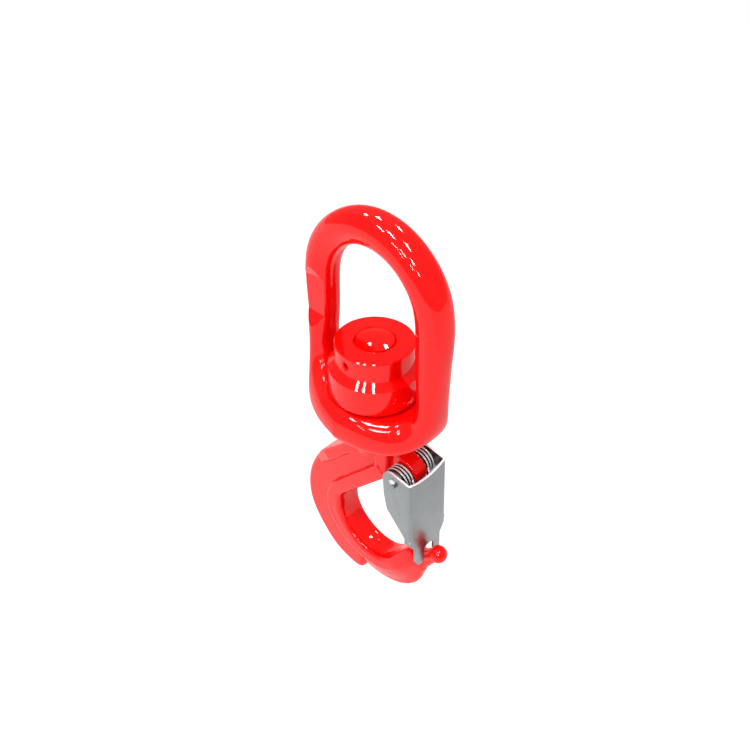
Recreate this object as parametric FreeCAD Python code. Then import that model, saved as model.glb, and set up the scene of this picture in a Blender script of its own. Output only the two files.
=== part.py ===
"""Swivel hook with a ball thrust bearing: eye, hook, bell nut, bearing, latch.

Units are millimetres and +Z is up.  The origin is the point where the load
line meets the inside of the eye, so the whole hook hangs below it on the Z
axis.  X points across the eye towards the tip of the hook, and Y is the axis
of the latch pin.
"""
import FreeCAD, Part
import math
import os

V = FreeCAD.Vector
X_AXIS = V(1, 0, 0)
Y_AXIS = V(0, 1, 0)
Z_AXIS = V(0, 0, 1)

# ---------------------------------------------------------------- load line
NUT_TOP = -48.5             # top face of the bell nut
BOSS_SEAT = -78.5           # faced ring in the eye that carries the bearing
BOSS_BOTTOM = -97.0         # underside of the eye's boss
BOWL_Z = -186.0             # centre of the hook's bowl, on the load line

# ---------------------------------------------------------------- shank, M20
SHANK_R = 10.0
SHANK_END_R = 9.25          # above the thread
SHANK_DOME = 1.5            # height of its domed end over the nut
BORE_GAP = 0.05             # radial play of the bearing washer and the nut
BOSS_BORE_R = 10.4

# ---------------------------------------------------------------- eye
EYE_R_IN = 27.5
EYE_R_OUT = 43.2
EYE_HALF = 8.6              # half of the bar's thickness along Y
FLAT_LOW = -47.5            # assembly flat milled on the left leg
FLAT_HIGH = -27.5
FLAT_Y = 5.2
FLAT_RUNOUT = 7.0

# ---------------------------------------------------------------- bell nut
NUT_R = 19.5
BELL_R = 23.0
BELL_WALL = 2.3
NUT_HEIGHT = 10.4           # upper cylinder
BELL_HEIGHT = 28.7
NUT_PIN_Z = NUT_TOP - 5.5
NUT_PIN_R = 1.75
NUT_PIN_LENGTH = 34.0

# ---------------------------------------------------------------- bearing
RACE_R = 20.0
BEARING_HEIGHT = 14.0
BALLS = 12
BALL_R = 3.57
BALL_PITCH_R = 15.0
RACE_GAP = 4.6              # between the two washers
GROOVE_GAP = 0.15
CAGE_HALF = 1.2

# ---------------------------------------------------------------- hook body
BOWL_R = 23.0
BODY_HALF = 8.75            # half of the thickness at the bowl
WEB_HALF = 4.6              # half of the thickness in the back's recess
BLOCK_HALF = 8.0            # half of the thickness above the recess
LUG_HALF = 4.6
COLLAR_R = 13.0
PIN_X = 26.5
PIN_Z = BOWL_Z + 67.8
LUG_R = 7.6
LUG_SLOPE = 13.0            # rise of its top towards the collar, in degrees
TIP_BALL = V(49.7, 0, BOWL_Z + 15.6)
TIP_BALL_R = 5.0
TIP_NECK_R = 3.6

# ---------------------------------------------------------------- latch
LATCH_HALF = 14.15
LATCH_SHEET = 1.2
LATCH_BEND_R = 1.8
LIP_DEPTH = 2.8
LATCH_TILT = 4.27           # lean of the closed latch, in degrees
PLATE_X = 12.1              # the plate's outer face, from the pin
PLATE_TOP = 4.9             # heights from the pin
PLATE_DIP = 2.4
PLATE_LOW = -41.4
PRONG_TOP = -49.4
PRONG_LOW = -59.6
ARCH_TOP = -50.2
LATCH_PIN_R = 2.6
LATCH_PIN_LENGTH = 32.0
PRONG_HALF = 9.5
SLOT_HALF = 4.1
EAR_GAP = 0.05              # radial play of the ears on the latch pin

# ---------------------------------------------------------------- spring
WIRE_R = 0.65
COIL_R = 6.2
COIL_TURNS = 3              # whole turns, before the part turn that ends on the hook's side
COIL_PITCH = 1.42
COIL_START = 5.8            # distance of the first turn from the hook's middle plane
BRIDGE_Z = -15.5            # height of the bridge from the pin
LEG_Z = -9.4                # height of the straight ends from the pin
LEG_END_Y = 2.5             # distance of their tips from the middle plane
WIRE_BEND_R = 1.6
SPRING_GAP = 0.15           # between the bridge and the plate


def revolve(points, centre=V(0, 0, 0), axis=Z_AXIS):
    """Turn a closed outline through a full circle."""
    wire = Part.makePolygon(points + [points[0]])
    return Part.Face(wire).revolve(centre, axis, 360)


def ring(r_in, r_out, z_low, z_high):
    """A plain ring about the load line."""
    return revolve([V(r_in, 0, z_low), V(r_out, 0, z_low), V(r_out, 0, z_high), V(r_in, 0, z_high)])


def prism_y(wire, half):
    """Extrude a wire of the XZ plane to the same distance on both sides."""
    solid = Part.Face(wire).extrude(V(0, 2 * half, 0))
    solid.translate(V(0, -half, 0))
    return solid


def outline(items, z_zero=0.0):
    """Closed XZ outline.  (x, z) ends a straight edge, four numbers are an arc's mid point and its
    end, and a list holds the points of a smooth curve."""
    def place(x, z):
        return V(x, 0, z + z_zero)

    last = items[-1][-1] if isinstance(items[-1], list) else items[-1][-2:]
    here = place(*last)
    edges = []
    for item in items:
        if isinstance(item, list):
            points = [here] + [place(*pair) for pair in item]
            curve = Part.BSplineCurve()
            curve.interpolate(Points=points)
        elif len(item) == 4:
            points = [here, place(*item[:2]), place(*item[2:])]
            curve = Part.Arc(*points)
        else:
            points = [here, place(*item)]
            curve = Part.LineSegment(*points)
        edges.append(curve.toShape())
        here = points[-1]
    return Part.Wire(edges)


def rounded(solid, radius, wanted):
    """Fillet the edges that the test picks."""
    edges = [edge for edge in solid.Edges if wanted(edge)]
    return solid.makeFillet(radius, edges)


def save(name, shape):
    solids = shape.Solids
    body = solids[0] if len(solids) == 1 else Part.makeCompound(solids)
    body.exportStep("parts/%s.step" % name)


# ------------------------------------------------------------------ the eye
# Half of a section, from the inside of the eye to the outside: depth, half width.
BAR_SHAPE = ((0, 0), (0, 0.30), (0.06, 0.55), (0.2, 0.76), (0.36, 0.94), (0.52, 1),
             (0.7, 0.93), (0.86, 0.72), (0.965, 0.40), (1, 0))
BOSS_SHAPE = ((0, 0), (0, 0.38), (0.01, 0.72), (0.16, 0.92), (0.36, 0.99), (0.5, 1),
              (0.7, 0.99), (0.87, 0.92), (0.97, 0.64), (1, 0))


def eye_section(inner, outer, half, boss):
    """Closed section between two points of the XZ plane; boss is 0 on the bar and 1 at the boss."""
    depth = outer.sub(inner)
    upper = []
    for (bar_u, bar_w), (boss_u, boss_w) in zip(BAR_SHAPE, BOSS_SHAPE):
        u = bar_u + (boss_u - bar_u) * boss
        w = bar_w + (boss_w - bar_w) * boss
        upper.append(inner.add(depth * u).add(V(0, w * half, 0)))
    lower = [V(p.x, -p.y, p.z) for p in upper[1:-1]]
    lower.reverse()
    curve = Part.BSplineCurve()
    curve.interpolate(Points=upper + lower, PeriodicFlag=True)
    return Part.Wire(curve.toShape())


def eye_sections():
    """Sections of the right half of the eye, from beyond the top round to beyond the boss."""
    rows = []
    for degrees in (135, 112.5, 90, 67.5, 45, 22.5, 0):
        c = math.cos(math.radians(degrees))
        s = math.sin(math.radians(degrees))
        inner = V(EYE_R_IN * c, 0, EYE_R_IN * (s - 1))
        outer = V(EYE_R_OUT * c, 0, EYE_R_OUT * s - EYE_R_IN)
        rows.append((inner, outer, EYE_HALF, 0))
    # inner x, inner z, outer x, outer z, half thickness, share of the boss's shape
    stations = (
        (28.3, -43.0, 43.2, -43.0, 8.6, 0),
        (30.0, -57.0, 43.0, -56.5, 8.8, 0),
        (30.8, -68.0, 42.8, -70.0, 9.3, 0.1),
        (29.7, -73.5, 41.0, -83.5, 12.0, 0.4),
        (25.8, -76.9, 34.4, -92.4, 17.8, 0.7),
        (14.0, -77.9, 16.5, -97.2, 26.0, 1),
        (0.0, -77.9, 0.0, -98.2, 29.2, 1),
    )
    mirrored = [(-xi, zi, -xo, zo, half, boss) for xi, zi, xo, zo, half, boss in stations[-2:-4:-1]]
    for xi, zi, xo, zo, half, boss in stations + tuple(mirrored):
        rows.append((V(xi, 0, zi), V(xo, 0, zo), half, boss))
    return [eye_section(*row) for row in rows]


def flat_cutter(side):
    """Wedge-ended cutter for the assembly flat on one face of the left leg."""
    depth = 4.5
    profile = [
        V(0, side * FLAT_Y, FLAT_LOW),
        V(0, side * FLAT_Y, FLAT_HIGH),
        V(0, side * (FLAT_Y + depth), FLAT_HIGH + depth * FLAT_RUNOUT / 3.4),
        V(0, side * (FLAT_Y + depth), FLAT_LOW - depth * FLAT_RUNOUT / 3.4),
    ]
    wire = Part.makePolygon(profile + [profile[0]])
    cutter = Part.Face(wire).extrude(V(40, 0, 0))
    cutter.translate(V(-60, 0, 0))
    return cutter


def make_eye():
    loft = Part.makeLoft(eye_sections(), True, False)
    right_half = loft.common(Part.makeBox(80, 120, 200, V(0, -60, -150)))
    left_half = right_half.mirror(V(0, 0, 0), X_AXIS)
    eye = right_half.fuse(left_half)
    seat = Part.makeCylinder(BELL_R + 1.0, 20, V(0, 0, BOSS_SEAT))
    foot = Part.makeCylinder(60, 30, V(0, 0, BOSS_BOTTOM - 30))
    bore = Part.makeCylinder(BOSS_BORE_R, 60, V(0, 0, BOSS_BOTTOM - 20))
    eye = eye.cut(seat).cut(foot).cut(bore)
    for side in (-1, 1):
        eye = eye.cut(flat_cutter(side))
    return eye


# ------------------------------------------------------------- swivel parts
def make_nut():
    top = NUT_TOP
    low = NUT_TOP - BELL_HEIGHT
    roof = BOSS_SEAT + BEARING_HEIGHT
    slope = BELL_R - NUT_R
    edge = 0.5
    nut = revolve([
        V(SHANK_R + BORE_GAP, 0, roof),
        V(SHANK_R + BORE_GAP, 0, top - 0.6),
        V(SHANK_R + BORE_GAP + 0.6, 0, top),
        V(NUT_R - edge, 0, top),
        V(NUT_R, 0, top - edge),
        V(NUT_R, 0, top - NUT_HEIGHT),
        V(BELL_R, 0, top - NUT_HEIGHT - slope),
        V(BELL_R, 0, low + edge),
        V(BELL_R - edge, 0, low),
        V(BELL_R - BELL_WALL, 0, low),
        V(BELL_R - BELL_WALL, 0, roof),
    ])
    nut = nut.cut(Part.makeCylinder(NUT_PIN_R, 60, V(0, -30, NUT_PIN_Z), Y_AXIS))
    bevel = 0.7
    mouth_r = NUT_PIN_R + bevel + 0.5
    mouth = Part.makeCone(NUT_PIN_R, mouth_r, bevel + 0.5, V(0, NUT_R - bevel, NUT_PIN_Z), Y_AXIS)
    return nut.cut(mouth).cut(mouth.mirror(V(0, 0, 0), Y_AXIS))


def make_nut_pin():
    pin = spring_pin(NUT_PIN_R, 0.7, NUT_PIN_LENGTH)
    pin.translate(V(0, 0, NUT_PIN_Z))
    return pin


def make_race(z_low, z_high, bore_r):
    middle = BOSS_SEAT + BEARING_HEIGHT / 2
    groove = Part.makeTorus(BALL_PITCH_R, BALL_R + GROOVE_GAP, V(0, 0, middle), Z_AXIS)
    return ring(bore_r, RACE_R, z_low, z_high).cut(groove)


def ball_centre(index):
    turn = 2 * math.pi * index / BALLS
    middle = BOSS_SEAT + BEARING_HEIGHT / 2
    return V(BALL_PITCH_R * math.cos(turn), BALL_PITCH_R * math.sin(turn), middle)


def make_cage():
    middle = BOSS_SEAT + BEARING_HEIGHT / 2
    cage = ring(11.2, 19.2, middle - CAGE_HALF, middle + CAGE_HALF)
    for index in range(BALLS):
        hole_foot = ball_centre(index).sub(V(0, 0, 5))
        cage = cage.cut(Part.makeCylinder(BALL_R + GROOVE_GAP, 10, hole_foot))
    return cage


# ------------------------------------------------------------------ the hook
def bar_section(inner, outer, half_in, half_out, crease):
    """Section of the hook's bar: flat inside, sides that narrow from the crease to a round back."""
    depth = outer.sub(inner)
    length = depth.Length
    unit = depth * (1 / length)
    corner = 2.6
    back = length - half_out
    marks = [
        (0, 0), (0, 0.5 * (half_in - corner)), (0, half_in - corner),
        (0.29 * corner, half_in - 0.29 * corner), (corner, half_in),
        (0.5 * (corner + crease), half_in), (crease - 1.3, half_in), (crease, half_in - 0.4),
        (0.5 * (crease + back), 0.5 * (half_in + half_out)),
        (back, half_out), (length - 0.29 * half_out, 0.71 * half_out), (length, 0),
    ]
    upper = [inner.add(unit * along).add(V(0, across, 0)) for along, across in marks]
    lower = [V(p.x, -p.y, p.z) for p in upper[1:-1]]
    lower.reverse()
    curve = Part.BSplineCurve()
    curve.interpolate(Points=upper + lower, PeriodicFlag=True)
    return Part.Wire(curve.toShape())


def bar_rows():
    """The bar from the throat's upper end, round the corner and the bowl, to the tip.

    Each row is the inner x and z from the bowl's centre, the outward direction, the depth, half the
    thickness inside and at the back, and the crease's distance from the inside.
    """
    arm = (-0.777, 0.629)
    corner = (-0.942, 0.333)
    rows = [
        (17.2, 59.4, arm, 11.8, 7.6, 2.2, 8.3),
        (16.0, 57.9, arm, 11.8, 8.75, 2.5, 8.5),
        (-16.7, 17.5, arm, 11.8, 8.75, 2.5, 8.5),
        (-19.8, 13.7, arm, 12.3, 8.75, 2.6, 8.9),
        (-22.2, 9.6, corner, 14.2, 8.75, 3.0, 9.6),
        (-23.0, 4.5, (-1, 0), 16.2, 8.75, 3.3, 11.4),
    ]
    bowl = ((186, 17.8, 3.5, 12.8), (200, 20.0, 3.8, 14.0), (216, 22.6, 4.0, 14.0), (234, 25.2, 4.2, 13.0),
            (252, 26.7, 4.2, 12.0), (270, 26.4, 4.2, 11.0), (290, 25.2, 4.2, 9.8), (310, 23.6, 4.2, 9.2),
            (328, 21.8, 4.2, 9.0))
    for degrees, depth, half_out, crease in bowl:
        c = math.cos(math.radians(degrees))
        s = math.sin(math.radians(degrees))
        rows.append((BOWL_R * c, BOWL_R * s, (c, s), depth, BODY_HALF, half_out, crease))
    rows += [
        (24.6, -3.6, (0.90, -0.44), 18.6, 7.4, 4.2, 9.0),
        (30.0, 4.4, (0.84, -0.54), 15.6, 5.8, 4.1, 7.5),
        (32.8, 6.6, (0.78, -0.63), 12.4, 4.8, 3.8, 6.0),
    ]
    return rows


def make_bar():
    """The load-carrying bar: a straight arm, and the corner, bowl and tip."""
    wires = []
    for x, z, (dx, dz), depth, half_in, half_out, crease in bar_rows():
        inner = V(x, 0, BOWL_Z + z)
        outer = V(x + dx * depth, 0, BOWL_Z + z + dz * depth)
        wires.append(bar_section(inner, outer, half_in, half_out, crease))
    arm = Part.makeLoft(wires[:3], True, True)
    return arm.fuse(Part.makeLoft(wires[2:], True, False))


# Back of the hook from the collar down to where the web ends, from the bowl's centre.
BACK = [
    (-13.6, 64.0), (-23.6, 52.2), (-32.0, 44.0), (-40.8, 35.0), (-47.4, 26.0), (-53.0, 15.5), (-57.2, 4.5),
    (-59.6, -8.0), (-58.4, -27.0),
    (-50.5, -42.5), (-41.5, -52.5), (-34.0, -57.8), (-25.0, -60.2), (-15.5, -60.6), (-9.0, -58.4),
    (-6.8, -53.0), (-6.6, -40.0),
]
UPPER_BACK = [(-14.6, 66.0), (-24.3, 53.0), (-32.5, 44.4), (-41.0, 35.2), (-46.0, 27.0), (-48.6, 19.0)]


def on_rim(half, z_top, x_limit):
    """Test for the edges between a plate's faces and its outer rim."""
    def test(edge):
        middle = edge.valueAt(0.5 * (edge.FirstParameter + edge.LastParameter))
        return abs(abs(middle.y) - half) < 1e-6 and middle.z < z_top and x_limit(middle.x)
    return test


def make_web():
    """The thin back of the hook, with a rounded rim."""
    inside = [
        (-26.0, -18.0), (-30.0, 0.0), (-20.0, 20.0), (0.0, 45.0), (10.0, 56.0), (13.0, 78.0), (-13.0, 78.0),
    ]
    web = prism_y(outline([BACK] + inside, BOWL_Z), WEB_HALF)
    return rounded(web, 3.8, lambda edge: edge.Length > 150)


def make_block():
    """The thick part of the body above the recess, from the collar to the upper back."""
    rest = [(-46.6, 15.4, -42.4, 20.9), (-12.6, 55.2), (6.8, 64.6), (5.0, 55.0), (16.0, 57.5), (16.8, 78.0),
            (-13.0, 78.0)]
    block = prism_y(outline([UPPER_BACK] + rest, BOWL_Z), BLOCK_HALF)
    along = V(0.66, 0, 0.751)
    across = V(-0.751, 0, 0.66)
    origin = V(0, 0, BOWL_Z).sub(across * 60)
    ramp_start = 6.8
    ramp_end = -25.2
    ramp_low = BLOCK_HALF - (ramp_start - ramp_end) * 0.189
    profile = ((ramp_start, BLOCK_HALF), (ramp_end, ramp_low), (ramp_end, 12), (ramp_start, 12))
    corners = [origin.add(along * far).add(V(0, side, 0)) for far, side in profile]
    ramp = Part.Face(Part.makePolygon(corners + corners[:1])).extrude(across * 120)
    block = block.cut(ramp).cut(ramp.mirror(V(0, 0, 0), Y_AXIS))
    top = BOWL_Z + 77.9

    def rim(edge):
        """Test for the outer edges of the sides, without the crease where each ramp starts."""
        middle = 0.5 * (edge.FirstParameter + edge.LastParameter)
        place = edge.valueAt(middle)
        return abs(place.y) > 2 and place.z < top and abs(edge.tangentAt(middle).dot(across)) < 0.999
    return rounded(block, 2.0, rim)


def make_lug():
    """The lug that the latch hangs on: a round eye with a straight top that slopes up to the collar."""
    slope = math.radians(LUG_SLOPE)
    centre_z = PIN_Z - BOWL_Z
    top_x = PIN_X + LUG_R * math.sin(slope)
    top_z = centre_z + LUG_R * math.cos(slope)
    low_x = 23.0
    low_z = centre_z - math.sqrt(LUG_R ** 2 - (PIN_X - low_x) ** 2)
    root_x = 6.0
    root_z = top_z + (top_x - root_x) * math.tan(slope)
    items = (
        (root_x, root_z), (root_x, 57), (14, 55.8), (low_x, low_z), (PIN_X + LUG_R, centre_z, top_x, top_z),
    )
    lug = prism_y(outline(items, BOWL_Z), LUG_HALF)
    return rounded(lug, 1.4, on_rim(LUG_HALF, 0, lambda x: x > 17))


def make_tip():
    """Neck and ball at the end of the hook's tip."""
    start = V(36.0, 0, BOWL_Z + 0.5)
    axis = TIP_BALL.sub(start)
    length = axis.Length
    across = V(0, 1, 0)
    unit = axis * (1 / length)
    stations = (
        (0, 5.6), (4.0, 4.9), (9.0, 3.7), (13.0, TIP_NECK_R), (length - 3.4, TIP_NECK_R), (length, 3.0),
    )
    points = [start.add(unit * along).add(across * r) for along, r in stations]
    curve = Part.BSplineCurve()
    curve.interpolate(Points=points)
    side = curve.toShape()
    wire = Part.Wire([
        side,
        Part.LineSegment(points[-1], TIP_BALL).toShape(),
        Part.LineSegment(TIP_BALL, start).toShape(),
        Part.LineSegment(start, points[0]).toShape(),
    ])
    neck = Part.Face(wire).revolve(start, unit, 360)
    root = V(40.5, 0, BOWL_Z - 1.5)
    gusset_axis = V(49.2, 0, BOWL_Z + 13.5).sub(root)
    gusset = Part.makeCone(TIP_NECK_R, 2.4, gusset_axis.Length, root, gusset_axis)
    return neck.multiFuse([gusset, Part.makeSphere(TIP_BALL_R, TIP_BALL)])


def make_shank():
    top = NUT_TOP
    thread_end = top - 1.6
    dome_r = (SHANK_END_R ** 2 + SHANK_DOME ** 2) / (2 * SHANK_DOME)
    shoulder = BOSS_BOTTOM - 0.4
    low = BOWL_Z + 66
    shank = revolve([
        V(0, 0, low), V(COLLAR_R - 3, 0, low), V(COLLAR_R, 0, BOWL_Z + 79), V(COLLAR_R, 0, shoulder - 1),
        V(COLLAR_R - 1, 0, shoulder), V(SHANK_R, 0, shoulder), V(SHANK_R, 0, thread_end),
        V(SHANK_END_R, 0, thread_end + SHANK_R - SHANK_END_R), V(SHANK_END_R, 0, top), V(0, 0, top),
    ])
    dome = Part.makeSphere(dome_r, V(0, 0, top + SHANK_DOME - dome_r))
    cap = dome.common(Part.makeCylinder(SHANK_END_R, SHANK_DOME + 1, V(0, 0, top)))
    return shank.fuse(cap)


def make_hook():
    hook = make_bar().multiFuse([make_web(), make_block(), make_lug(), make_tip(), make_shank()])
    hook = hook.cut(Part.makeCylinder(LATCH_PIN_R, 60, V(PIN_X, -30, PIN_Z), Y_AXIS))
    return hook.cut(Part.makeCylinder(NUT_PIN_R, 60, V(0, -30, NUT_PIN_Z), Y_AXIS))


# ----------------------------------------------------------------- the latch
def on_bend(x):
    """Test for the upright edges at one distance in front of the pin."""
    def upright(edge):
        return abs(edge.valueAt(1).x - x) < 1e-6 and abs(edge.tangentAt(1).z) > 0.9
    return upright


def make_latch():
    """Bent sheet: two ears on the pin, and a plate with two prongs that straddle the tip's neck."""
    inner_x = PLATE_X - LATCH_SHEET
    ear = outline((
        (-6.8, 0), (-4.8, 4.8, 0, 6.8), (14.0, 4.6), (14.0, PLATE_LOW), (10.4, PLATE_LOW), (-5.2, -23.0),
        (-6.8, -12.0),
    ))
    channel = prism_y(ear, LATCH_HALF)
    inner_half = LATCH_HALF - LATCH_SHEET
    inside = Part.makeBox(40, 2 * inner_half, 120, V(inner_x - 40, -inner_half, -90))
    outer = Part.makeBox(40, 2 * LATCH_HALF, 120, V(PLATE_X - 40, -LATCH_HALF, -90))
    outer = rounded(outer, LATCH_BEND_R, on_bend(PLATE_X))
    inside = rounded(inside, LATCH_BEND_R - LATCH_SHEET, on_bend(inner_x))
    shell = outer.cut(inside)
    ears = shell.common(channel).cut(make_dip())
    latch = ears.fuse(shell.common(make_front())).removeSplitter()
    lip = make_lip()
    latch = latch.multiFuse([lip, lip.mirror(V(0, 0, 0), Y_AXIS)])
    return latch.cut(Part.makeCylinder(LATCH_PIN_R + EAR_GAP, 60, V(0, -30, 0), Y_AXIS))


def make_dip():
    """Cutter over the hollowed top edge of the plate, between the ears."""
    half = LATCH_HALF - LATCH_SHEET
    high = PLATE_TOP + 0.3
    arc = Part.Arc(V(0, -half, high), V(0, 0, PLATE_TOP - PLATE_DIP), V(0, half, high))
    corners = [V(0, half, high), V(0, half, 20), V(0, -half, 20), V(0, -half, high)]
    cutter = Part.Face(Part.Wire([arc.toShape()] + Part.makePolygon(corners).Edges)).extrude(V(6, 0, 0))
    cutter.translate(V(PLATE_X - LATCH_BEND_R, 0, 0))
    return cutter


def make_lip():
    """Narrow flange turned back along a shoulder and the outer side of a prong."""
    sheet = LATCH_SHEET
    points = [
        (LATCH_HALF, PLATE_LOW + 3), (LATCH_HALF, PLATE_LOW),
        (PRONG_HALF, PRONG_TOP), (PRONG_HALF, PRONG_LOW),
        (PRONG_HALF - sheet, PRONG_LOW), (PRONG_HALF - sheet, PRONG_TOP - 0.35),
        (LATCH_HALF - sheet, PLATE_LOW - 0.35), (LATCH_HALF - sheet, PLATE_LOW + 3),
    ]
    corners = [V(PLATE_X - LIP_DEPTH, y, z) for y, z in points]
    return Part.Face(Part.makePolygon(corners + corners[:1])).extrude(V(LIP_DEPTH - 0.6, 0, 0))


def make_front():
    """Outline of the plate, extruded across the sheet."""
    radius = (PRONG_HALF - SLOT_HALF) / 2
    middle = (PRONG_HALF + SLOT_HALF) / 2
    slot_top = ARCH_TOP - SLOT_HALF

    def line(*ends):
        return Part.LineSegment(*[V(0, y, z) for y, z in ends]).toShape()

    def arc(*points):
        return Part.Arc(*[V(0, y, z) for y, z in points]).toShape()

    edges = [arc((-LATCH_HALF, PLATE_TOP), (0, PLATE_TOP - PLATE_DIP), (LATCH_HALF, PLATE_TOP))]
    edges += [
        line((LATCH_HALF, PLATE_TOP), (LATCH_HALF, PLATE_LOW)),
        line((LATCH_HALF, PLATE_LOW), (PRONG_HALF, PRONG_TOP)),
        line((PRONG_HALF, PRONG_TOP), (PRONG_HALF, PRONG_LOW)),
        arc((PRONG_HALF, PRONG_LOW), (middle, PRONG_LOW - radius), (SLOT_HALF, PRONG_LOW)),
        line((SLOT_HALF, PRONG_LOW), (SLOT_HALF, slot_top)),
        arc((SLOT_HALF, slot_top), (0, ARCH_TOP), (-SLOT_HALF, slot_top)),
        line((-SLOT_HALF, slot_top), (-SLOT_HALF, PRONG_LOW)),
        arc((-SLOT_HALF, PRONG_LOW), (-middle, PRONG_LOW - radius), (-PRONG_HALF, PRONG_LOW)),
        line((-PRONG_HALF, PRONG_LOW), (-PRONG_HALF, PRONG_TOP)),
        line((-PRONG_HALF, PRONG_TOP), (-LATCH_HALF, PLATE_LOW)),
        line((-LATCH_HALF, PLATE_LOW), (-LATCH_HALF, PLATE_TOP)),
    ]
    solid = Part.Face(Part.Wire(edges)).extrude(V(6, 0, 0))
    solid.translate(V(PLATE_X - 5, 0, 0))
    return solid


def place_latch(shape):
    shape.rotate(V(0, 0, 0), Y_AXIS, -LATCH_TILT)
    shape.translate(V(PIN_X, 0, PIN_Z))
    return shape


def spring_pin(radius, wall, length):
    """Slotted spring pin along Y with bevelled ends; the slot faces +X."""
    pin = Part.makeCylinder(radius, length, V(0, -length / 2, 0), Y_AXIS)
    pin = pin.makeChamfer(0.5, [edge for edge in pin.Edges if len(edge.Vertexes) == 1])
    core = Part.makeCylinder(radius - wall, length + 2, V(0, -length / 2 - 1, 0), Y_AXIS)
    slot_width = 0.45 * radius
    slot = Part.makeBox(radius + 1, length + 2, slot_width, V(0, -length / 2 - 1, -slot_width / 2))
    return pin.cut(core).cut(slot)


def wire_run(points, radius):
    """Straight runs between the points, with rounded corners."""
    edges = []
    here = points[0]
    for before, corner, after in zip(points, points[1:], points[2:]):
        back = before.sub(corner).normalize()
        ahead = after.sub(corner).normalize()
        half = back.getAngle(ahead) / 2
        inward = back.add(ahead).normalize()
        first = corner.add(back * (radius / math.tan(half)))
        middle = corner.add(inward * (radius / math.sin(half) - radius))
        last = corner.add(ahead * (radius / math.tan(half)))
        edges.append(Part.LineSegment(here, first).toShape())
        edges.append(Part.Arc(first, middle, last).toShape())
        here = last
    edges.append(Part.LineSegment(here, points[-1]).toShape())
    return edges


def make_spring():
    """Double torsion spring: a coil each side of the lug, a bridge behind the plate, ends under the lug."""
    lean = math.radians(LATCH_TILT)
    behind = PLATE_X - LATCH_SHEET - WIRE_R - SPRING_GAP
    bridge_x = behind * math.cos(lean) - BRIDGE_Z * math.sin(lean)
    reach = math.hypot(bridge_x, BRIDGE_Z)
    first = math.atan2(BRIDGE_Z, bridge_x) + math.acos(COIL_R / reach)
    turns = COIL_TURNS + (math.pi - first) / (2 * math.pi)
    slope = COIL_PITCH / (2 * math.pi * COIL_R)
    leg = math.sqrt(reach ** 2 - COIL_R ** 2)
    coil_end = -COIL_START - COIL_PITCH * turns
    helix = Part.makeHelix(COIL_PITCH, COIL_PITCH * turns, COIL_R)
    helix.rotate(V(0, 0, 0), Z_AXIS, math.degrees(first))
    helix.rotate(V(0, 0, 0), X_AXIS, 90)
    helix.translate(V(0, -COIL_START, 0))
    near = [
        V(bridge_x, 0, BRIDGE_Z),
        V(bridge_x, -COIL_START + leg * slope, BRIDGE_Z),
        V(COIL_R * math.cos(first), -COIL_START, COIL_R * math.sin(first)),
    ]
    far = [
        V(-COIL_R, coil_end, 0),
        V(-COIL_R, coil_end + LEG_Z * slope, LEG_Z),
        V(-COIL_R, -LEG_END_Y, LEG_Z),
    ]
    path = Part.Wire(wire_run(near, WIRE_BEND_R) + helix.Edges + wire_run(far, WIRE_BEND_R))
    section = Part.Wire(Part.makeCircle(WIRE_R, near[0], Y_AXIS))
    half = path.makePipeShell([section], True, False)
    spring = half.fuse(half.mirror(V(0, 0, 0), Y_AXIS))
    spring.translate(V(PIN_X, 0, PIN_Z))
    return spring


def make_latch_pin():
    """Plain pin with bevelled ends."""
    length = LATCH_PIN_LENGTH
    pin = Part.makeCylinder(LATCH_PIN_R, length, V(PIN_X, -length / 2, PIN_Z), Y_AXIS)
    return pin.makeChamfer(0.5, [edge for edge in pin.Edges if len(edge.Vertexes) == 1])


def main():
    os.makedirs("parts", exist_ok=True)
    save("eye", make_eye())
    save("hook", make_hook())
    save("bell_nut", make_nut())
    lower_top = BOSS_SEAT + (BEARING_HEIGHT - RACE_GAP) / 2
    save("lower_race", make_race(BOSS_SEAT, lower_top, SHANK_R + 1.0))
    save("upper_race", make_race(lower_top + RACE_GAP, BOSS_SEAT + BEARING_HEIGHT, SHANK_R + BORE_GAP))
    save("ball_cage", make_cage())
    for index in range(BALLS):
        save("bearing_ball_%02d" % (index + 1), Part.makeSphere(BALL_R, ball_centre(index)))
    save("latch", place_latch(make_latch()))
    save("latch_pin", make_latch_pin())
    save("latch_spring", make_spring())
    save("nut_lock_pin", make_nut_pin())


main()
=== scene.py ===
"""Looks of the swivel hook: glossy red paint, zinc-plated latch, bright spring, on a plain white floor.

Lengths are in metres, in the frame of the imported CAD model. Angles are in degrees.
"""

import math

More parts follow.
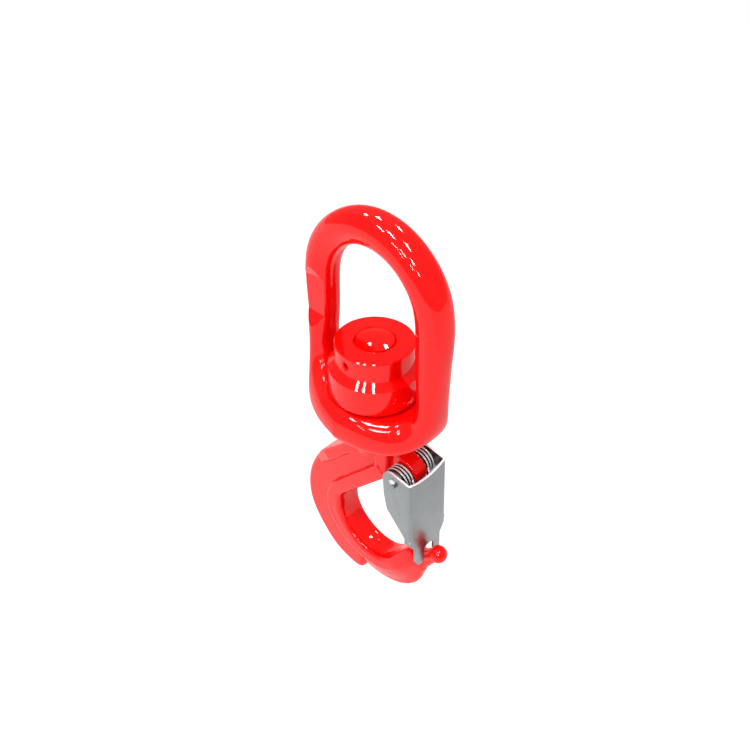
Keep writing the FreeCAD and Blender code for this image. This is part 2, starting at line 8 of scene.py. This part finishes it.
import bmesh
import bpy
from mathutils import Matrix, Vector


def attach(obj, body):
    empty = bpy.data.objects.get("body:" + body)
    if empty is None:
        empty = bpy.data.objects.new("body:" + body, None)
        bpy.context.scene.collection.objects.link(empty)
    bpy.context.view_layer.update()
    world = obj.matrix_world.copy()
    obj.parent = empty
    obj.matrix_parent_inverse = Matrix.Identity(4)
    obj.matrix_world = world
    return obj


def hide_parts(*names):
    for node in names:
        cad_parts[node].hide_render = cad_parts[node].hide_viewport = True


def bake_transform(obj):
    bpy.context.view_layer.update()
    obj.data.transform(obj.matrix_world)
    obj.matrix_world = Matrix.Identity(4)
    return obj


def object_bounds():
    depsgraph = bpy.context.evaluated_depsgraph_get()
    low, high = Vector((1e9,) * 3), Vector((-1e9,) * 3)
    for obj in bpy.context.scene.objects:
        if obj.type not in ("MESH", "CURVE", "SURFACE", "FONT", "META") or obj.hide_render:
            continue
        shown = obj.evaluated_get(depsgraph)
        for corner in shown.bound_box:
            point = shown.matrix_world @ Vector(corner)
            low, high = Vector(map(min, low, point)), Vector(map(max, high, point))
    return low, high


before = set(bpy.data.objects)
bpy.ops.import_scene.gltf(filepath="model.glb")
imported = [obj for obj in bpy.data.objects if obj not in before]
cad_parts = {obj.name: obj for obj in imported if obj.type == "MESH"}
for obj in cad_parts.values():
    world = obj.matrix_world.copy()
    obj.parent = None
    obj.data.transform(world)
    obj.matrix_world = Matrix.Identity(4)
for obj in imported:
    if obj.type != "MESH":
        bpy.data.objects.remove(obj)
cad_low, cad_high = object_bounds()

MM = 0.001
UP = Vector((0.0, 0.0, 1.0))

# Latch: bent sheet on a pin along Y
PIN = Vector((26.5, 0.0, -118.2)) * MM
LATCH_TILT = 4.27
PLATE_X = 12.1 * MM                          # outer face of the plate, from the pin
SHEET = 1.2 * MM
SHEET_ROLL = 0.3 * MM                        # most that the cut edges are rounded by
ROLL_SEGMENTS = 3
SHORTEST_EDGE = 0.3 * MM                     # shorter edges are merged before the rounding
FLAT_ANGLE = 0.5                             # faces that meet at less than this become one
CUT_ANGLE = 35.0                             # edges that turn more than this are rounded
SHARP_ANGLE = 40.0                           # edges that turn more than this aren't shaded smooth

# Latch spring: heights and distances from the pin's axis and from the hook's middle plane
WIRE_R = 0.9 * MM
COIL_R = 6.2 * MM
COIL_PITCH = 1.95 * MM
COIL_START = 6.05 * MM
COIL_TURNS = 2                               # whole turns, before the part turn to the leg
BRIDGE_Z = -15.5 * MM
LEG_Z = -9.7 * MM
LEG_END_Y = 2.5 * MM
BEND_R = 1.6 * MM
SPRING_GAP = 0.15 * MM                       # between the bridge and the plate
WIRE_SIDES = 20
TURN_STEPS = 64
BEND_STEPS = 8

# Camera of the photograph: the lens and the sensor are in millimetres, as Blender takes them
CAMERA_AZIMUTH = 45.0
CAMERA_PITCH = 39.82
CAMERA_DISTANCE = 295.97 * MM
CAMERA_AIM = Vector((0.0, 0.0, -70.33)) * MM
CAMERA_LENS = 28.8
SENSOR_WIDTH = 36.0
CLIP_NEAR = 0.01
CLIP_FAR = 100.0

# Stage: the floor's glow rises from the camera's right to its left, within the reach each side
FLOOR_DROP = 60 * MM
FLOOR_HALF = 12.0
GLOW_RIGHT = 1.0
GLOW_LEFT = 1.25
GLOW_REACH = 0.3
SKY_LIGHT = 0.34

# Ceiling lamps: each one's place towards the camera and to the camera's left, in multiples of
# their height over the nut
LAMP_HEIGHT = 1.3
LAMP_WIDTH = 0.12
LAMP_LENGTH = 0.24
LAMP_RADIANCE = 36.0
LAMP_PLACES = (
    (-0.60, -0.34), (-0.65, 0.17), (-0.75, 0.52),
    (0.20, -0.19), (0.16, 0.31), (0.06, 0.62),
    (0.87, 0.07), (0.81, 0.48), (0.71, 0.80),
    (1.38, 0.05), (1.42, 0.55), (1.10, 0.95),
)
LAMP_CENTRE = Vector((0.0, 0.0, -50.0)) * MM

# Fill lamps, left out of the glossy reflections
FILL_AZIMUTHS = (0.0, 90.0, 180.0, 270.0)
FILL_DISTANCE = 1.4
FILL_RISE = 0.5
FILL_SIDE = 0.9
FILL_RADIANCE = 1.6

# Colours
WHITE = (1.0, 1.0, 1.0, 1.0)
FLOOR_GREY = (0.03, 0.03, 0.03, 1.0)
RED_DEEP = (0.72, 0.0, 0.0, 1.0)
RED_BRIGHT = (0.86, 0.003, 0.002, 1.0)
RED_GRIT = (0.60, 0.0, 0.0, 1.0)
ZINC_DARK = (0.262, 0.274, 0.278, 1.0)
ZINC_LIGHT = (0.288, 0.300, 0.304, 1.0)
ZINC_CRYSTAL = (0.32, 0.333, 0.337, 1.0)
# painted highlight: near-white colour for the zinc's up-facing top edges, standing in for the lamps'
# reflection
ZINC_PAINTED_HIGHLIGHT = (0.90, 0.91, 0.92, 1.0)
# painted shade: near-black colour on the spring wire's flanks between the turns
WIRE_PAINTED_SHADE = (0.012, 0.011, 0.011, 1.0)
# near-white tones of the painted highlight on the spring wire's crests, varied at random
WIRE_DARK = (0.80, 0.80, 0.81, 1.0)
WIRE_LIGHT = (0.93, 0.93, 0.94, 1.0)
RACE_DARK = (0.55, 0.55, 0.56, 1.0)
RACE_LIGHT = (0.70, 0.70, 0.71, 1.0)
CAGE_DARK = (0.42, 0.40, 0.36, 1.0)
CAGE_LIGHT = (0.55, 0.53, 0.48, 1.0)


def horizontal(azimuth):
    """Unit vector from the object towards a viewer at that azimuth."""
    angle = math.radians(azimuth)
    return Vector((math.sin(angle), -math.cos(angle), 0.0))


def add_camera():
    pitch = math.radians(CAMERA_PITCH)
    back = horizontal(CAMERA_AZIMUTH) * math.cos(pitch) + UP * math.sin(pitch)
    data = bpy.data.cameras.new("camera")
    data.lens = CAMERA_LENS
    data.sensor_width = SENSOR_WIDTH
    data.clip_start = CLIP_NEAR
    data.clip_end = CLIP_FAR
    camera = bpy.data.objects.new("camera", data)
    camera.location = CAMERA_AIM + back * CAMERA_DISTANCE
    camera.rotation_mode = "QUATERNION"
    camera.rotation_quaternion = (-back).to_track_quat("-Z", "Y")
    bpy.context.collection.objects.link(camera)
    bpy.context.scene.camera = camera


class Nodes:
    """A new node material, with short calls for the nodes it is made of."""

    def __init__(self, name):
        self.material = bpy.data.materials.new(name)
        self.material.use_nodes = True
        self.tree = self.material.node_tree
        self.shader = self.tree.nodes["Principled BSDF"]
        self.coordinates = self.add("ShaderNodeTexCoord")
        self.place = self.coordinates.outputs["Object"]

    def add(self, kind, **settings):
        node = self.tree.nodes.new(kind)
        for key, value in settings.items():
            setattr(node, key, value)
        return node

    def feed(self, socket, source):
        """Links a source socket, or sets a plain value."""
        if isinstance(source, bpy.types.NodeSocket):
            self.tree.links.new(source, socket)
        else:
            socket.default_value = source

    def stretched(self, scale, turn=(0.0, 0.0, 0.0)):
        """Object coordinates scaled per axis, after a turn in degrees."""
        node = self.add("ShaderNodeMapping")
        node.inputs["Rotation"].default_value = [math.radians(angle) for angle in turn]
        node.inputs["Scale"].default_value = scale
        self.feed(node.inputs["Vector"], self.place)
        return node.outputs["Vector"]

    def facing(self, axis):
        """How far the surface faces along one of the object's axes, from -1 to 1."""
        node = self.add("ShaderNodeSeparateXYZ")
        self.feed(node.inputs["Vector"], self.coordinates.outputs["Normal"])
        return node.outputs[axis]

    def noise(self, scale, detail, rough=0.5, vector=None):
        node = self.add("ShaderNodeTexNoise")
        self.feed(node.inputs["Vector"], vector or self.place)
        node.inputs["Scale"].default_value = scale
        node.inputs["Detail"].default_value = detail
        node.inputs["Roughness"].default_value = rough
        return node.outputs["Fac"]

    def spread(self, source, low, high, start=0.3, end=0.7):
        """Goes from low to high, and no further, as the source goes from start to end."""
        node = self.add("ShaderNodeMapRange")
        self.feed(node.inputs["Value"], source)
        node.inputs["From Min"].default_value = start
        node.inputs["From Max"].default_value = end
        node.inputs["To Min"].default_value = low
        node.inputs["To Max"].default_value = high
        return node.outputs["Result"]

    def tint(self, fac, first, second):
        node = self.add("ShaderNodeMix", data_type="RGBA")
        self.feed(node.inputs["Factor"], fac)
        colours = [socket for socket in node.inputs if socket.type == "RGBA"]
        self.feed(colours[0], first)
        self.feed(colours[1], second)
        return [socket for socket in node.outputs if socket.type == "RGBA"][0]

    def bump(self, height, distance, under=None):
        node = self.add("ShaderNodeBump")
        self.feed(node.inputs["Height"], height)
        node.inputs["Distance"].default_value = distance
        node.inputs["Strength"].default_value = 1.0
        if under is not None:
            self.feed(node.inputs["Normal"], under)
        return node.outputs["Normal"]

    def principled(self, **sockets):
        for key, value in sockets.items():
            self.feed(self.shader.inputs[key.replace("_", " ")], value)
        return self.material


def red_paint():
    """Thick glossy enamel over a forging: slow hammered waves, orange peel, small changes of red."""
    m = Nodes("paint_red_enamel")
    waves = m.noise(scale=85.0, detail=1.0)
    peel = m.noise(scale=900.0, detail=1.5)
    grit = m.noise(scale=2600.0, detail=2.0)
    drift = m.noise(scale=38.0, detail=3.0)
    haze = m.noise(scale=300.0, detail=3.0)
    shade = m.tint(m.spread(drift, 0.0, 1.0), RED_DEEP, RED_BRIGHT)
    colour = m.tint(m.spread(grit, 0.0, 0.35, start=0.45, end=0.75), shade, RED_GRIT)
    waved = m.bump(waves, 0.02 * MM)
    peeled = m.bump(peel, 0.0015 * MM, under=waved)
    gritty = m.bump(grit, 0.004 * MM, under=peeled)
    return m.principled(
        Base_Color=colour, Roughness=m.spread(haze, 0.34, 0.46), Specular_IOR_Level=0.02, Normal=gritty,
        Coat_Weight=0.36, Coat_IOR=1.8, Coat_Roughness=0.03, Coat_Normal=peeled,
    )


def plated_sheet():
    """Satin zinc plate: grain along the sheet, small crystals, cloudy tone, and a painted highlight where it
    faces up.

    The painted highlight, near white and less metallic, stands for the lamps' reflection on the sheet's top
    edges, and is set by the way the surface faces.
    """
    m = Nodes("zinc_plated_sheet")
    along = m.stretched((2600.0, 2600.0, 130.0), turn=(0.0, LATCH_TILT, 0.0))
    grain = m.noise(scale=1.0, detail=3.0, rough=0.6, vector=along)
    crystals = m.noise(scale=2300.0, detail=2.0)
    clouds = m.noise(scale=140.0, detail=3.0)
    base = m.tint(m.spread(clouds, 0.0, 1.0), ZINC_DARK, ZINC_LIGHT)
    face = m.tint(m.spread(crystals, 0.0, 0.5, start=0.4, end=0.7), base, ZINC_CRYSTAL)
    # painted highlight: mask of faces that point up, which turns the zinc near white and less metallic
    painted_top_highlight = m.spread(m.facing("Z"), 0.0, 1.0, start=0.55, end=0.80)
    lined = m.bump(grain, 0.002 * MM)
    return m.principled(
        Base_Color=m.tint(painted_top_highlight, face, ZINC_PAINTED_HIGHLIGHT),
        Metallic=m.spread(painted_top_highlight, 1.0, 0.1, start=0.0, end=1.0),
        Roughness=m.spread(grain, 0.30, 0.38),
        Normal=m.bump(crystals, 0.002 * MM, under=lined),
    )


def spring_wire():
    """Drawn spring wire: a painted highlight, near white, along its crests, and painted shade, near black,
    on the flanks between the turns.

    Crest and flank are told apart by the way the surface faces: the flanks face along the pin.
    """
    m = Nodes("spring_wire")
    marks = m.noise(scale=1.0, detail=2.0, vector=m.stretched((900.0, 300.0, 900.0)))
    flank = m.add("ShaderNodeMath", operation="ABSOLUTE")
    m.feed(flank.inputs[0], m.facing("Y"))
    # painted highlight on the crests and painted shade on the flanks, set by the way the surface faces
    painted_crest_highlight = m.spread(flank.outputs[0], 1.0, 0.0, start=0.35, end=0.60)
    steel = m.tint(m.spread(marks, 0.0, 1.0), WIRE_DARK, WIRE_LIGHT)
    return m.principled(
        Base_Color=m.tint(painted_crest_highlight, WIRE_PAINTED_SHADE, steel),
        Metallic=m.spread(painted_crest_highlight, 0.0, 0.35, start=0.0, end=1.0),
        Roughness=m.spread(marks, 0.18, 0.28),
        Normal=m.bump(marks, 0.002 * MM),
    )


def bright_steel(name, low, high, dark, light):
    """Hard bright steel between two roughnesses, with fine marks square to Y and a little haze."""
    m = Nodes(name)
    marks = m.noise(scale=1.0, detail=2.0, vector=m.stretched((120.0, 2200.0, 120.0)))
    haze = m.noise(scale=420.0, detail=4.0)
    colour = m.tint(m.spread(haze, 0.0, 1.0), dark, light)
    rough = m.spread(haze, low, high)
    return m.principled(Base_Color=colour, Metallic=1.0, Roughness=rough, Normal=m.bump(marks, 0.003 * MM))


def floor_material():
    """Plain white floor that glows evenly, a little more on the camera's left."""
    m = Nodes("floor_white")
    left = m.add("ShaderNodeVectorMath", operation="DOT_PRODUCT")
    m.feed(left.inputs[0], m.place)
    left.inputs[1].default_value = horizontal(CAMERA_AZIMUTH - 90.0)
    glow = m.spread(left.outputs["Value"], GLOW_RIGHT, GLOW_LEFT, start=-GLOW_REACH, end=GLOW_REACH)
    return m.principled(
        Base_Color=FLOOR_GREY, Roughness=0.9, Specular_IOR_Level=0.0,
        Emission_Color=WHITE, Emission_Strength=glow,
    )


def add_floor():
    z = cad_low.z - FLOOR_DROP
    corners = [
        (-FLOOR_HALF, -FLOOR_HALF, z), (FLOOR_HALF, -FLOOR_HALF, z),
        (FLOOR_HALF, FLOOR_HALF, z), (-FLOOR_HALF, FLOOR_HALF, z),
    ]
    mesh = bpy.data.meshes.new("floor")
    mesh.from_pydata(corners, [], [(0, 1, 2, 3)])
    mesh.materials.append(floor_material())
    floor = bpy.data.objects.new("floor", mesh)
    bpy.context.collection.objects.link(floor)


def add_world():
    """Dim even sky for light and reflections; white where the camera sees it behind the floor."""
    world = bpy.data.worlds.new("studio")
    bpy.context.scene.world = world
    world.use_nodes = True
    tree = world.node_tree
    sky = tree.nodes["Background"]
    sky.inputs["Color"].default_value = WHITE
    sky.inputs["Strength"].default_value = SKY_LIGHT
    white = tree.nodes.new("ShaderNodeBackground")
    white.inputs["Color"].default_value = WHITE
    path = tree.nodes.new("ShaderNodeLightPath")
    mix = tree.nodes.new("ShaderNodeMixShader")
    tree.links.new(path.outputs["Is Camera Ray"], mix.inputs[0])
    tree.links.new(sky.outputs[0], mix.inputs[1])
    tree.links.new(white.outputs[0], mix.inputs[2])
    tree.links.new(mix.outputs[0], tree.nodes["World Output"].inputs["Surface"])


def new_lamp(name, width, length, radiance):
    data = bpy.data.lights.new(name, "AREA")
    data.shape = "RECTANGLE"
    data.size = width
    data.size_y = length
    data.energy = radiance * math.pi * width * length
    lamp = bpy.data.objects.new(name, data)
    lamp.visible_camera = False
    bpy.context.collection.objects.link(lamp)
    return lamp


def add_lamps():
    towards = horizontal(CAMERA_AZIMUTH)
    leftwards = horizontal(CAMERA_AZIMUTH - 90.0)
    width = LAMP_WIDTH * LAMP_HEIGHT
    length = LAMP_LENGTH * LAMP_HEIGHT
    for index, (near, left) in enumerate(LAMP_PLACES):
        lamp = new_lamp("panel_%02d" % (index + 1), width, length, LAMP_RADIANCE)
        lamp.location = LAMP_CENTRE + (towards * near + leftwards * left + UP) * LAMP_HEIGHT
        lamp.rotation_euler = (0.0, 0.0, math.radians(CAMERA_AZIMUTH))
    for index, azimuth in enumerate(FILL_AZIMUTHS):
        fill = new_lamp("fill_%d" % (index + 1), FILL_SIDE, FILL_SIDE, FILL_RADIANCE)
        away = horizontal(azimuth) * FILL_DISTANCE + UP * FILL_RISE
        fill.location = CAMERA_AIM + away
        fill.rotation_mode = "QUATERNION"
        fill.rotation_quaternion = away.to_track_quat("Z", "Y")
        fill.visible_glossy = False


def new_piece(name, bm, material):
    """Object made of the bmesh, which is freed."""
    mesh = bpy.data.meshes.new(name)
    bm.to_mesh(mesh)
    bm.free()
    mesh.materials.append(material)
    piece = bpy.data.objects.new(name, mesh)
    bpy.context.collection.objects.link(piece)
    return piece


def rolled_edges(node, name, material):
    """Copy of a sheet metal node with its cut edges rounded over."""
    bm = bmesh.new()
    verts = [bm.verts.new(vertex.co) for vertex in node.data.vertices]
    for polygon in node.data.polygons:
        bm.faces.new([verts[index] for index in polygon.vertices])
    bmesh.ops.remove_doubles(bm, verts=bm.verts, dist=SHORTEST_EDGE)
    bmesh.ops.dissolve_limit(bm, angle_limit=math.radians(FLAT_ANGLE), verts=bm.verts, edges=bm.edges)
    piece = new_piece(name, bm, material)
    bevel = piece.modifiers.new("rolled", "BEVEL")
    bevel.width = SHEET_ROLL
    bevel.segments = ROLL_SEGMENTS
    bevel.limit_method = "ANGLE"
    bevel.angle_limit = math.radians(CUT_ANGLE)
    bevel.use_clamp_overlap = True
    evaluated = piece.evaluated_get(bpy.context.evaluated_depsgraph_get())
    piece.data = bpy.data.meshes.new_from_object(evaluated)
    piece.modifiers.clear()
    piece.data.shade_smooth()
    piece.data.set_sharp_from_angle(angle=math.radians(SHARP_ANGLE))
    return piece


def rounded(points, radius):
    """Points of straight runs whose corners are arcs of that radius."""
    path = [points[0]]
    for before, corner, after in zip(points, points[1:], points[2:]):
        back = (before - corner).normalized()
        ahead = (after - corner).normalized()
        half = back.angle(ahead) / 2
        centre = corner + (back + ahead).normalized() * (radius / math.sin(half))
        first = corner + back * (radius / math.tan(half)) - centre
        last = corner + ahead * (radius / math.tan(half)) - centre
        sweep = first.angle(last)
        for step in range(BEND_STEPS + 1):
            gone = sweep * step / BEND_STEPS
            path.append(centre + (first * math.sin(sweep - gone) + last * math.sin(gone)) / math.sin(sweep))
    path.append(points[-1])
    return path


def mirrored(path):
    """The path on the other side of the hook's middle plane."""
    return [Vector((point.x, -point.y, point.z)) for point in path]


def wire(name, path, material):
    """Round wire along the path, closed at both ends, in the spring's place on the pin."""
    tangents = []
    for index in range(len(path)):
        ahead = path[min(index + 1, len(path) - 1)]
        behind = path[max(index - 1, 0)]
        tangents.append((ahead - behind).normalized())
    bm = bmesh.new()
    side = tangents[0].orthogonal().normalized()
    rings = []
    for index, (point, tangent) in enumerate(zip(path, tangents)):
        if index:
            side = tangents[index - 1].rotation_difference(tangent) @ side
        up = tangent.cross(side)
        ring = []
        for step in range(WIRE_SIDES):
            angle = 2 * math.pi * step / WIRE_SIDES
            ring.append(bm.verts.new(PIN + point + (side * math.cos(angle) + up * math.sin(angle)) * WIRE_R))
        rings.append(ring)
    for low, high in zip(rings, rings[1:]):
        for step in range(WIRE_SIDES):
            after = (step + 1) % WIRE_SIDES
            face = bm.faces.new((low[step], low[after], high[after], high[step]))
            face.smooth = True
    bm.faces.new(list(reversed(rings[0])))
    bm.faces.new(rings[-1])
    bm.normal_update()
    return new_piece(name, bm, material)


def on_coil(angle, along):
    """Point of the coil's centre line, at an angle round the pin and a distance along it."""
    return Vector((COIL_R * math.cos(angle), along, COIL_R * math.sin(angle)))


def add_spring(material):
    """Double torsion spring: its bridge swings with the latch, its legs stay with the hook body, and its
    coils are attached to neither.
    """
    lean = math.radians(LATCH_TILT)
    behind = PLATE_X - SHEET - WIRE_R - SPRING_GAP
    bridge_x = behind * math.cos(lean) - BRIDGE_Z * math.sin(lean)
    reach = math.hypot(bridge_x, BRIDGE_Z)
    first = math.atan2(BRIDGE_Z, bridge_x) + math.acos(COIL_R / reach)
    turns = COIL_TURNS + (math.pi - first) / (2 * math.pi)
    slope = COIL_PITCH / (2 * math.pi * COIL_R)
    lead = math.sqrt(reach ** 2 - COIL_R ** 2)
    coil_end = -COIL_START - COIL_PITCH * turns
    half_bridge = rounded([
        Vector((bridge_x, 0, BRIDGE_Z)),
        Vector((bridge_x, -COIL_START + lead * slope, BRIDGE_Z)),
        on_coil(first, -COIL_START),
    ], BEND_R)
    leg = rounded([
        Vector((-COIL_R, coil_end, 0)),
        Vector((-COIL_R, coil_end + LEG_Z * slope, LEG_Z)),
        Vector((-COIL_R, -LEG_END_Y, LEG_Z)),
    ], BEND_R)
    coil = []
    steps = round(turns * TURN_STEPS)
    for step in range(steps + 1):
        gone = turns * step / steps
        coil.append(on_coil(first + 2 * math.pi * gone, -COIL_START - COIL_PITCH * gone))
    bridge = list(reversed(half_bridge)) + mirrored(half_bridge)[1:]
    pieces = [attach(wire("spring_bridge", bridge, material), "safety_latch")]
    for side_name, turn in (("right", 1), ("left", -1)):
        coil_piece = wire("spring_coil_" + side_name, coil if turn > 0 else mirrored(coil), material)
        pieces.append(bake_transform(coil_piece))
        leg_piece = wire("spring_leg_" + side_name, leg if turn > 0 else mirrored(leg), material)
        pieces.append(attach(leg_piece, "hook_body"))
    for piece in pieces:
        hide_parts("latch_spring")


add_camera()
add_floor()
add_world()
add_lamps()
bpy.context.scene.view_settings.view_transform = "Standard"

zinc = plated_sheet()
finishes = {
    "red_paint": red_paint(),
    "plated_sheet": zinc,
    "spring_steel": zinc,
    "bearing_steel": bright_steel("bearing_steel", 0.05, 0.12, RACE_DARK, RACE_LIGHT),
    "cage_steel": bright_steel("cage_steel", 0.25, 0.38, CAGE_DARK, CAGE_LIGHT),
}
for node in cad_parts.values():
    for index, old in enumerate(node.data.materials):
        node.data.materials[index] = finishes[old.name.split(".")[0]]
add_spring(spring_wire())
sheet = rolled_edges(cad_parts["latch"], "latch_sheet", zinc)
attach(sheet, "safety_latch")
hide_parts("latch")
